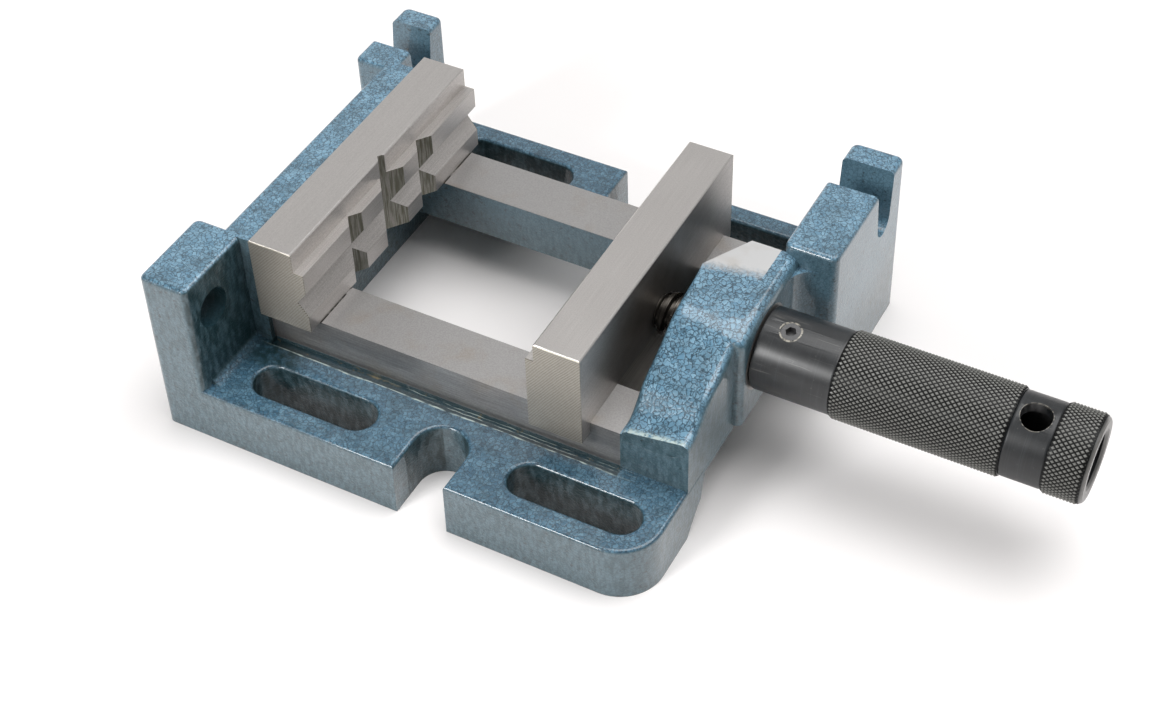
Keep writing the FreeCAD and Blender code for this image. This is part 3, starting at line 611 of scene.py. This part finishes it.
@dataclass(frozen=True)
class BlackOxide:
    """Blackened steel whose sharp tips and edges have rubbed bright."""

    black: Colour = tone(24, 26, 28)
    worn: Colour = tone(120, 118, 114)
    rubbed: Colour = tone(186, 180, 166)
    roughness: float = 0.36
    oil: float = 0.4
    coat_roughness: float = 0.28
    tips: float = 0.0
    shine: float = 0.5
    rims: tuple[tuple[float, ...], ...] = (
        (153.1, -13.0, 3.0, 0.45, 0.75),
        (226.0, -14.0, 4.5, 0.2, 0.4),
    )

    def build(self, name: str) -> bpy.types.Material:
        """Builds the material."""
        kit = SurfaceKit(name)
        x, y, z = kit.spot
        cloud = kit.noise(3.0, detail=4.0)
        rings = kit.stretched((0.3, 26.0, 26.0), 3.0)
        colour = kit.mix(cloud.rise(0.35, 0.8) * 0.5, self.black, scaled(self.black, 2.1))
        colour = kit.mix(rings.rise(0.5, 0.7) * 0.5, colour, scaled(self.black, 3.0))
        wear = kit.noise(0.8).rise(0.66, 0.8) * 0.2
        face = x.rise(243.0, 243.6)
        wear = wear.most(face * (0.25 + 0.6 * kit.noise(2.0, detail=3.0)))
        up = z - SCREW_Z
        reach = kit.square_reach(y, up) ** 0.5
        oil = kit.blend(x.inside(219.9, 232.1), self.oil, self.oil * 0.25)
        if self.tips:
            tip = (reach + 0.1 * x.rise(231.0, 232.0)).rise(13.02, 13.3)
            wear = wear.most(tip * self.tips)
            oil = oil * tip
        colour = kit.mix(wear, colour, self.worn)
        for middle, angle, radius, width, strength in self.rims:
            turn = math.radians(angle)
            side = y * math.cos(turn) - up * math.sin(turn)
            gap = kit.square_reach(x - middle, side) ** 0.5 - radius
            rim = gap.inside(-0.1, width) * up.rise(0.0, 1.0) * reach.rise(12.0, 12.4)
            colour = kit.mix(rim * kit.noise(1.0).rise(0.35, 0.65) * strength, colour, self.rubbed)
        scrape = kit.stretched((14.0, 0.7, 0.7), 3.0).rise(0.62, 0.72) * x.fall(168.0, 169.0)
        colour = kit.mix(scrape * 0.3, colour, self.worn)
        return kit.finish(
            Base_Color=colour,
            Metallic=0.0,
            Roughness=self.roughness + 0.12 * cloud,
            Specular_IOR_Level=self.shine,
            Normal=kit.bump(rings * 0.6 + cloud * 0.4, 0.03, 0.45),
            Coat_Weight=oil,
            Coat_Roughness=self.coat_roughness,
        )


@dataclass(frozen=True)
class PaleFloor:
    """Plain matt floor."""

    colour: Colour = tone(250, 247, 246)

    def build(self, name: str) -> bpy.types.Material:
        """Builds the material."""
        kit = SurfaceKit(name)
        cloud = kit.noise(400.0)
        return kit.finish(
            Base_Color=kit.mix(cloud * 0.3, self.colour, scaled(self.colour, 0.985)),
            Roughness=0.9,
            Specular_IOR_Level=0.1,
        )


# --- Mesh helpers ---

NODE_WELD = 0.002
OUTLINE_WELD = 0.0005
FLAT_ANGLE = 0.4
ROD_SIDES = 64


def shown(name: str, mesh: bpy.types.Mesh) -> bpy.types.Object:
    """Puts a mesh into the scene as an object."""
    thing = bpy.data.objects.new(name, mesh)
    bpy.context.scene.collection.objects.link(thing)
    return thing


def poured(work: bmesh.types.BMesh, name: str) -> bpy.types.Object:
    """Turns a finished work mesh into an object."""
    mesh = bpy.data.meshes.new(name)
    work.to_mesh(mesh)
    work.free()
    return shown(name, mesh)


def settled(thing: bpy.types.Object) -> bpy.types.Object:
    """Replaces an object's mesh by its shape after its modifiers, which are then removed."""
    graph = bpy.context.evaluated_depsgraph_get()
    graph.update()
    mesh = bpy.data.meshes.new_from_object(thing.evaluated_get(graph), depsgraph=graph)
    mesh.name = thing.name
    thing.modifiers.clear()
    thing.data = mesh
    return thing


def copied(node: bpy.types.Object, name: str, triangles: bool = False) -> bpy.types.Object:
    """Copies a node's triangles as one closed skin.

    Args:
        node: The node.
        name: The copy's name.
        triangles: Whether the triangles stay apart, because notched flat faces would fold over when rounded.

    Returns:
        The copy.
    """
    work = bmesh.new()
    work.from_mesh(node.data)
    bmesh.ops.remove_doubles(work, verts=work.verts, dist=NODE_WELD * MM)
    if not triangles:
        flat = math.radians(FLAT_ANGLE)
        bmesh.ops.dissolve_limit(work, angle_limit=flat, verts=work.verts, edges=work.edges)
    return poured(work, name)


def softened(thing: bpy.types.Object, width: float, segments: int, sharp: float = 38.0,
             smooth: float | None = None) -> bpy.types.Object:
    """Rounds the sharp edges a little and evens out the shading.

    Args:
        thing: The object.
        width: Width of the rounding in millimetres, or 0 for none.
        segments: Faces across the rounding.
        sharp: Angle in degrees from which an edge counts as sharp.
        smooth: Angle in degrees up to which the shading runs on over an edge, or None for the same angle.

    Returns:
        The same object.
    """
    if width:
        bevel = thing.modifiers.new("bevel", "BEVEL")
        bevel.width = width * MM
        bevel.segments = segments
        bevel.limit_method = "ANGLE"
        bevel.angle_limit = math.radians(sharp)
        bevel.use_clamp_overlap = True
        settled(thing)
    thing.data.shade_smooth()
    thing.data.set_sharp_from_angle(angle=math.radians(smooth or sharp))
    weighted = thing.modifiers.new("weighted", "WEIGHTED_NORMAL")
    weighted.keep_sharp = True
    weighted.weight = 100
    return settled(thing)


def turned(name: str, outline: Sequence[tuple[float, float]], steps: int) -> bpy.types.Object:
    """Turns a closed outline round the screw line.

    Args:
        name: The object's name.
        outline: Pairs of x and radius in millimetres, clockwise when seen with x to the right.
        steps: Faces round the line.

    Returns:
        The turned object.
    """
    work = bmesh.new()
    rings = []
    for step in range(steps):
        angle = TURN * step / steps
        rings.append([
            work.verts.new(place(x, radius * math.sin(angle), SCREW_Z + radius * math.cos(angle)))
            for x, radius in outline
        ])
    count = len(outline)
    for ring, following in zip(rings, rings[1:] + rings[:1]):
        for first in range(count):
            second = (first + 1) % count
            work.faces.new((ring[first], ring[second], following[second], following[first]))
    bmesh.ops.remove_doubles(work, verts=work.verts, dist=OUTLINE_WELD * MM)
    bmesh.ops.recalc_face_normals(work, faces=work.faces)
    return poured(work, name)


def rod(name: str, radius: float, start: Vector, end: Vector) -> bpy.types.Object:
    """Round bar between two places."""
    work = bmesh.new()
    line = end - start
    turn = line.to_track_quat("Z", "Y").to_matrix().to_4x4()
    matrix = Matrix.Translation((start + end) / 2) @ turn
    bmesh.ops.create_cone(work, cap_ends=True, segments=ROD_SIDES, radius1=radius * MM, radius2=radius * MM,
                          depth=line.length, matrix=matrix)
    return poured(work, name)


def drilled(thing: bpy.types.Object, cutters: Iterable[bpy.types.Object]) -> bpy.types.Object:
    """Cuts the cutters out of an object and removes them."""
    for cutter in cutters:
        cut = thing.modifiers.new("cut", "BOOLEAN")
        cut.operation = "DIFFERENCE"
        cut.solver = "EXACT"
        cut.object = cutter
        settled(thing)
        bpy.data.objects.remove(cutter)
    return thing


def merged(name: str, things: Sequence[bpy.types.Object]) -> bpy.types.Object:
    """Joins objects with finished meshes into one, keeping their materials."""
    materials: list[bpy.types.Material] = []
    work = bmesh.new()
    for thing in things:
        first_face = len(work.faces)
        work.from_mesh(thing.data)
        work.faces.ensure_lookup_table()
        for material in thing.data.materials:
            if material not in materials:
                materials.append(material)
        numbers = [materials.index(material) for material in thing.data.materials]
        for face in work.faces[first_face:]:
            face.material_index = numbers[min(face.material_index, len(numbers) - 1)]
        bpy.data.objects.remove(thing)
    joined = poured(work, name)
    for material in materials:
        joined.data.materials.append(material)
    return joined


def dressed(thing: bpy.types.Object, material: bpy.types.Material) -> bpy.types.Object:
    """Gives an object one material."""
    thing.data.materials.clear()
    thing.data.materials.append(material)
    return thing


def mounted(thing: bpy.types.Object, body: str, slot: str, *nodes: str) -> bpy.types.Object:
    """Makes a piece ride on a body and stand for nodes."""
    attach(thing, body)
    if nodes:
        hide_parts(*nodes)
    LOG.info("%s: %d faces, rides on %s", thing.name, len(thing.data.polygons), body)
    return thing


# --- Sub-assemblies ---


@dataclass
class Casting:
    """The cast body."""

    nodes: dict[str, bpy.types.Object]
    soft_edge: float = 0.35
    edge_faces: int = 2
    sharp: float = 40.0

    def build(self) -> bpy.types.Object:
        """Copies the body as one smooth skin and paints it."""
        body = copied(self.nodes["vise_body"], "cast_body")
        body = softened(body, self.soft_edge, self.edge_faces, self.sharp)
        dressed(body, CastFinish().build("hammer_paint"))
        return mounted(body, "base", "casting", "vise_body")


@dataclass
class Jaws:
    """Both jaws with fine broken edges."""

    nodes: dict[str, bpy.types.Object]
    edge: float = 0.05
    sharp: float = 20.0
    fixed_faces: int = 1
    fixed_shading: float = 2.0
    moving_faces: int = 2
    fixed_top: float = 62.6
    moving_top: float = 61.9
    moving_back: float = 110.2

    def build(self) -> list[bpy.types.Object]:
        """Copies both jaws and grinds them."""
        fixed = copied(self.nodes["fixed_jaw"], "fixed_jaw_ground", triangles=True)
        fixed = softened(fixed, self.edge, self.fixed_faces, self.sharp, self.fixed_shading)
        dressed(fixed, GroundSteel(top=self.fixed_top).build("ground_fixed_jaw"))
        moving = copied(self.nodes["moving_jaw"], "moving_jaw_ground")
        moving = softened(moving, self.edge, self.moving_faces, self.sharp)
        steel = GroundSteel(top=self.moving_top, back_shade_from=self.moving_back)
        dressed(moving, steel.build("ground_moving_jaw"))
        return [
            mounted(fixed, "base", "ground_steel", "fixed_jaw"),
            mounted(moving, "jaw", "ground_steel", "moving_jaw"),
        ]


@dataclass
class LeadScrew:
    """The screw with its left-hand trapezoid thread."""

    shoulder: float = 110.5
    end: float = 211.0
    crest: float = 6.95
    root: float = 5.3
    pitch: float = 3.0
    stations: int = 16
    around: int = 48
    spigot_start: float = 99.2
    spigot_radius: float = 4.5
    lead_in: float = 0.4
    inset: float = 0.5
    lip: float = 0.02
    core_gap: float = 0.05
    root_share: float = 0.375
    flank_share: float = 0.25
    weld: float = 0.004
    core_steps: int = 64
    sharp: float = 30.0

    def thread(self, material: bpy.types.Material) -> bpy.types.Object:
        """Grows the thread as a sheared grid bent round the screw line."""
        kit = ShapeKit("thread")
        start = kit.input("Start", self.shoulder - SLOTS_MIDDLE + self.lead_in)
        length = kit.input("Length", self.end - self.shoulder - 2 * self.lead_in)
        crest = kit.input("Crest radius", self.crest)
        root = kit.input("Root radius", self.root)
        pitch = kit.input("Pitch", self.pitch)
        stations = kit.input("Stations a turn", self.stations)
        around = kit.input("Faces round", self.around)
        finish = kit.input("Finish", material)
        turns = kit.maths("CEIL", length / pitch) + 1
        grid = kit.make("GeometryNodeMeshGrid", None, {
            "Size X": turns * pitch, "Size Y": 1.0,
            "Vertices X": turns * stations + 1, "Vertices Y": around + 1,
        })
        x, y, _ = kit.parts(kit.make("GeometryNodeInputPosition").outputs[0])
        turn = y + 0.5
        run = x + turns * pitch * 0.5
        fraction = kit.maths("FRACT", run / pitch)
        ridge = abs(fraction * 2 - 1)
        height = ((ridge - self.root_share) * (1 / self.flank_share)).least(1.0).most(0.0)
        along = (run - (1 - turn) * pitch).most(0.0).least(length)
        edge = along.least(length - along)
        radius = (root + height * (crest - root)).least(root + edge)
        kit.bend(grid.outputs[0], start + along, radius, turn * TURN, self.weld, finish)
        return kit.grow("screw_thread")

    def build(self) -> bpy.types.Object:
        """Makes the screw with its plain pinned end."""
        finish = TurnedSteel(bright=tone(116, 112, 106), dim=tone(56, 52, 48), roughness=0.22)
        finish = finish.build("screw_steel")
        left, right = self.shoulder, self.end
        lip, core = self.root + self.lip, self.root - self.core_gap
        outline = [
            (self.spigot_start, 0.0),
            (self.spigot_start, self.spigot_radius - self.lead_in),
            (self.spigot_start + self.lead_in, self.spigot_radius),
            (left, self.spigot_radius),
            (left, self.root),
            (left + self.lead_in, lip),
            (left + self.inset, core),
            (right - self.inset, core),
            (right - self.lead_in, lip),
            (right, self.root),
            (right, 0.0),
        ]
        bar = dressed(turned("screw_core", outline, self.core_steps), finish)
        screw = softened(merged("lead_screw_threaded", [bar, self.thread(finish)]), 0.0, 1, self.sharp)
        return mounted(screw, "jaw", "plain_steel", "lead_screw")


@dataclass
class Handle:
    """The hollow handle with its knurled grip and collar."""

    left: float = 144.6
    hub_end: float = 169.3
    grip_end: float = 219.9
    neck_end: float = 232.1
    right: float = 244.0
    hub_radius: float = 12.75
    grip_radius: float = 13.5
    neck_radius: float = 12.7
    collar_radius: float = 13.4
    tail_bore: float = 9.05
    bore: float = 8.5
    shelf: float = 160.4
    knurl_depth: float = 0.6
    knurl_along: float = 1.95
    knurl_count: int = 55
    cross_x: float = 226.0
    cross_radius: float = 4.5
    cross_angle: float = -14.0
    grub_x: float = 153.1
    grub_radius: float = 3.0
    grub_angle: float = -13.0
    cutter_reach: float = 16.0
    weld: float = 0.01
    steps: int = 128
    edge: float = 0.2
    edge_faces: int = 2
    sharp: float = 50.0
    knurl_sharp: float = 24.0
    collar_bevel: float = 0.9

    def knurl(self, name: str, start: float, end: float, radius: float,
              material: bpy.types.Material) -> bpy.types.Object:
        """Grows one band of diamond knurling.

        Args:
            name: The band's name.
            start: Where the band starts along the screw line.
            end: Where it ends.
            radius: Radius over the diamonds' tips.
            material: The band's finish.

        Returns:
            The band as a closed sleeve of four-sided points.
        """
        kit = ShapeKit(name)
        left = kit.input("Start", start - SLOTS_MIDDLE)
        length = kit.input("Length", end - start)
        tip = kit.input("Tip radius", radius)
        depth = kit.input("Depth", self.knurl_depth)
        pitch = kit.input("Pitch along", self.knurl_along)
        count = kit.input("Diamonds round", self.knurl_count)
        finish = kit.input("Finish", material)
        base = tip - depth
        step = TURN * tip / count
        columns = kit.maths("CEIL", length / pitch) + 1
        point = kit.make("GeometryNodeMeshCone", {"fill_type": "NGON"}, {
            "Vertices": 4, "Radius Top": 0.04, "Radius Bottom": 1.0, "Depth": 1.0})
        open_point = kit.make("GeometryNodeDeleteGeometry", {"domain": "FACE"}, {
            "Geometry": point.outputs["Mesh"], "Selection": point.outputs["Bottom"]})
        lattice = kit.make("GeometryNodeJoinGeometry")
        for shift in (0.0, 0.5):
            grid = kit.make("GeometryNodeMeshGrid", None, {
                "Size X": (columns - 1) * pitch, "Size Y": (count - 1) * step,
                "Vertices X": columns, "Vertices Y": count})
            offset = kit.vector(((columns - 1) * 0.5 + shift) * pitch,
                                ((count - 1) * 0.5 + shift) * step, 0.0)
            row = kit.make("GeometryNodeSetPosition", None, {"Geometry": grid.outputs[0], "Offset": offset})
            kit.tree.links.new(row.outputs[0], lattice.inputs[0])
        stood = kit.make("GeometryNodeInstanceOnPoints", None, {
            "Points": lattice.outputs[0], "Instance": open_point.outputs[0],
            "Scale": kit.vector(pitch * 0.5, step * 0.5, depth)})
        real = kit.make("GeometryNodeRealizeInstances", None, {0: stood.outputs[0]})
        x, y, z = kit.parts(kit.make("GeometryNodeInputPosition").outputs[0])
        along = (x - pitch * 0.5).most(0.0).least(length)
        edge = along.least(length - along)
        height = z.least(edge * 0.8)
        angle = y / step / count * TURN
        kit.bend(real.outputs[0], left + along, base + height, angle, self.weld, finish)
        return kit.grow(name)

    def outline(self) -> list[tuple[float, float]]:
        """The section of the turned sleeve under its knurling."""
        grip = self.grip_radius - self.knurl_depth
        collar = self.collar_radius - self.knurl_depth
        return [
            (self.left, self.tail_bore),
            (self.left, self.hub_radius - 0.8),
            (self.left + 0.3, self.hub_radius - 0.25),
            (self.left + 0.8, self.hub_radius),
            (self.hub_end - 0.5, self.hub_radius),
            (self.hub_end - 0.1, self.hub_radius - 0.3),
            (self.hub_end, self.hub_radius - 0.3),
            (self.hub_end, grip),
            (self.hub_end + 0.4, grip - 0.05),
            (self.grip_end - 0.4, grip - 0.05),
            (self.grip_end, grip),
            (self.grip_end, self.neck_radius - 0.35),
            (self.grip_end + 0.35, self.neck_radius - 0.05),
            (self.grip_end + 0.8, self.neck_radius),
            (self.neck_end - 0.8, self.neck_radius),
            (self.neck_end - 0.3, self.neck_radius - 0.1),
            (self.neck_end, self.neck_radius - 0.3),
            (self.neck_end, collar),
            (self.neck_end + 0.4, collar - 0.05),
            (self.right - 1.3, collar - 0.05),
            (self.right - self.collar_bevel, collar),
            (self.right - 0.35, collar - 0.35),
            (self.right, collar - self.collar_bevel),
            (self.right, self.bore + 1.0),
            (self.right - 0.3, self.bore + 0.5),
            (self.right - 0.9, self.bore),
            (self.shelf, self.bore),
            (self.shelf, self.tail_bore),
        ]

    def around(self, x: float, angle: float, radius: float) -> Vector:
        """A place at an angle round the screw line, turned from straight up."""
        turn = math.radians(angle)
        return place(x, radius * math.sin(turn), SCREW_Z + radius * math.cos(turn))

    def build(self) -> bpy.types.Object:
        """Turns, drills and knurls the handle."""
        plain = BlackOxide().build("black_oxide_turned")
        rough = BlackOxide(black=tone(6, 7, 7), worn=tone(132, 132, 128), roughness=0.34, coat_roughness=0.2,
                           tips=0.8, shine=0.2)
        rough = rough.build("black_oxide_knurled")
        sleeve = turned("sleeve_core", self.outline(), self.steps)
        reach = self.cutter_reach
        cross = rod("cross_cutter", self.cross_radius, self.around(self.cross_x, self.cross_angle, -reach),
                    self.around(self.cross_x, self.cross_angle, reach))
        grub = rod("grub_cutter", self.grub_radius, self.around(self.grub_x, self.grub_angle, 0.0),
                   self.around(self.grub_x, self.grub_angle, reach))
        sleeve = softened(drilled(sleeve, [cross, grub]), self.edge, self.edge_faces, self.sharp)
        dressed(sleeve, plain)
        grip = self.knurl("grip_knurl", self.hub_end, self.grip_end, self.grip_radius, rough)
        collar_end = self.right - self.collar_bevel
        collar = self.knurl("collar_knurl", self.neck_end, collar_end, self.collar_radius, rough)
        handle = merged("handle_knurled", [sleeve, grip, collar])
        handle.data.set_sharp_from_angle(angle=math.radians(self.knurl_sharp))
        return mounted(handle, "handle", "black_steel", "handle_sleeve")


@dataclass
class InnerWorks:
    """The pieces that keep their solids and only get a finish."""

    nodes: dict[str, bpy.types.Object]

    def build(self) -> None:
        """Dresses each node."""
        black = BlackOxide(black=tone(46, 46, 48), roughness=0.3).build("black_fasteners")
        plain = TurnedSteel().build("turned_steel")
        upright = TurnedSteel(rings=Around.ALONG_Z).build("flat_steel")
        bronze = TurnedSteel(bright=tone(196, 160, 96), dim=tone(150, 112, 58)).build("turned_bronze")
        finishes = {
            "fixed_jaw_screws": black,
            "keeper_screws": black,
            "handle_grub_screw": black,
            "guide_block": upright,
            "keeper_plate": upright,
            "screw_pin": plain,
            "thrust_washer": plain,
            "nut_bush": bronze,
        }
        for name, finish in finishes.items():
            dressed(self.nodes[name], finish)
            LOG.info("%s: dressed in %s", name, finish.name)


@dataclass(frozen=True)
class Lamp:
    """A soft square lamp, with its place and side in millimetres and its power in watts."""

    name: str
    at: tuple[float, float, float]
    side: float
    power: float

    def hang(self, target: Vector) -> None:
        """Hangs the lamp so that it faces a place."""
        data = bpy.data.lights.new(self.name, "AREA")
        data.shape = "SQUARE"
        data.size = self.side * MM
        data.energy = self.power
        lamp = bpy.data.objects.new(self.name, data)
        lamp.location = place(*self.at)
        lamp.rotation_euler = (target - lamp.location).to_track_quat("-Z", "Y").to_euler()
        bpy.context.scene.collection.objects.link(lamp)


@dataclass
class Studio:
    """The camera, the floor, the lamps and the world."""

    lens: float = 63.25
    sensor: float = 36.0
    eye: tuple[float, float, float] = (301.81, -389.99, 454.63)
    turn: tuple[float, float, float] = (0.7859654, 0.0254159, 0.4910383)
    nearest: float = 0.01
    farthest: float = 20.0
    floor_half: float = 3000.0
    fill: float = 0.3
    room: float = 0.12
    backdrop: float = 0.62
    beyond: float = 0.4
    target: tuple[float, float, float] = (80.0, 0.0, 20.0)
    lamps: tuple[Lamp, ...] = (
        Lamp("key", (290.0, 180.0, 1000.0), 1000.0, 11.0),
        Lamp("front", (-250.0, -900.0, 560.0), 320.0, 6.5),
    )

    def camera(self) -> None:
        """Sets the camera at the photograph's place."""
        data = bpy.data.cameras.new("camera")
        data.lens = self.lens
        data.sensor_width = self.sensor
        data.sensor_fit = "HORIZONTAL"
        data.clip_start = self.nearest
        data.clip_end = self.farthest
        camera = bpy.data.objects.new("camera", data)
        camera.location = place(*self.eye)
        camera.rotation_euler = self.turn
        bpy.context.scene.collection.objects.link(camera)
        bpy.context.scene.camera = camera

    def floor(self) -> None:
        """Lays the floor."""
        half = self.floor_half
        mesh = bpy.data.meshes.new("floor")
        signs = ((-1, -1), (1, -1), (1, 1), (-1, 1))
        corners = [place(across * half, depth * half, 0.0) for across, depth in signs]
        mesh.from_pydata(corners, [], [(0, 1, 2, 3)])
        floor = dressed(shown("floor", mesh), PaleFloor().build("floor_finish"))

    def world(self) -> None:
        """Makes a white background, a grey room in the reflections and a soft all-round light."""
        world = bpy.data.worlds.new("studio")
        world.use_nodes = True
        bpy.context.scene.world = world
        kit = NodeKit(world.node_tree)
        across, depth, height = kit.parts(kit.make("ShaderNodeTexCoord").outputs["Generated"])
        path = kit.make("ShaderNodeLightPath")
        seen = Num(kit, path.outputs["Is Camera Ray"]).most(Num(kit, path.outputs["Is Transmission Ray"]))
        mirrored = Num(kit, path.outputs["Is Glossy Ray"])
        backdrop = depth.rise(-0.2, 0.5) * height.fall(0.55, 0.95) * across.fall(-0.5, 0.3)
        beyond = across.rise(0.2, 0.6) * depth.rise(0.1, 0.5) * height.fall(0.5, 0.8)
        room = self.room + self.backdrop * backdrop + self.beyond * beyond
        strength = kit.maths("MAXIMUM", seen, mirrored * room)
        strength = strength.most((1 - mirrored) * self.fill)
        sky = kit.make("ShaderNodeBackground", None, {"Color": (1.0, 1.0, 1.0), "Strength": strength})
        kit.make("ShaderNodeOutputWorld", None, {"Surface": sky.outputs[0]})

    def build(self) -> None:
        """Sets up everything round the vise."""
        self.camera()
        self.floor()
        self.world()
        for lamp in self.lamps:
            lamp.hang(place(*self.target))
        bpy.context.scene.view_settings.view_transform = "Standard"


def main() -> None:
    """Builds the vise and its studio."""
    logging.basicConfig(level=logging.INFO, format="%(message)s")
    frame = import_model()
    nodes = frame["nodes"]
    Studio().build()
    steps: list[Callable] = [
        Casting(nodes).build,
        Jaws(nodes).build,
        LeadScrew().build,
        Handle().build,
        InnerWorks(nodes).build,
    ]
    for step in steps:
        step()


if __name__ == "__main__":
    main()
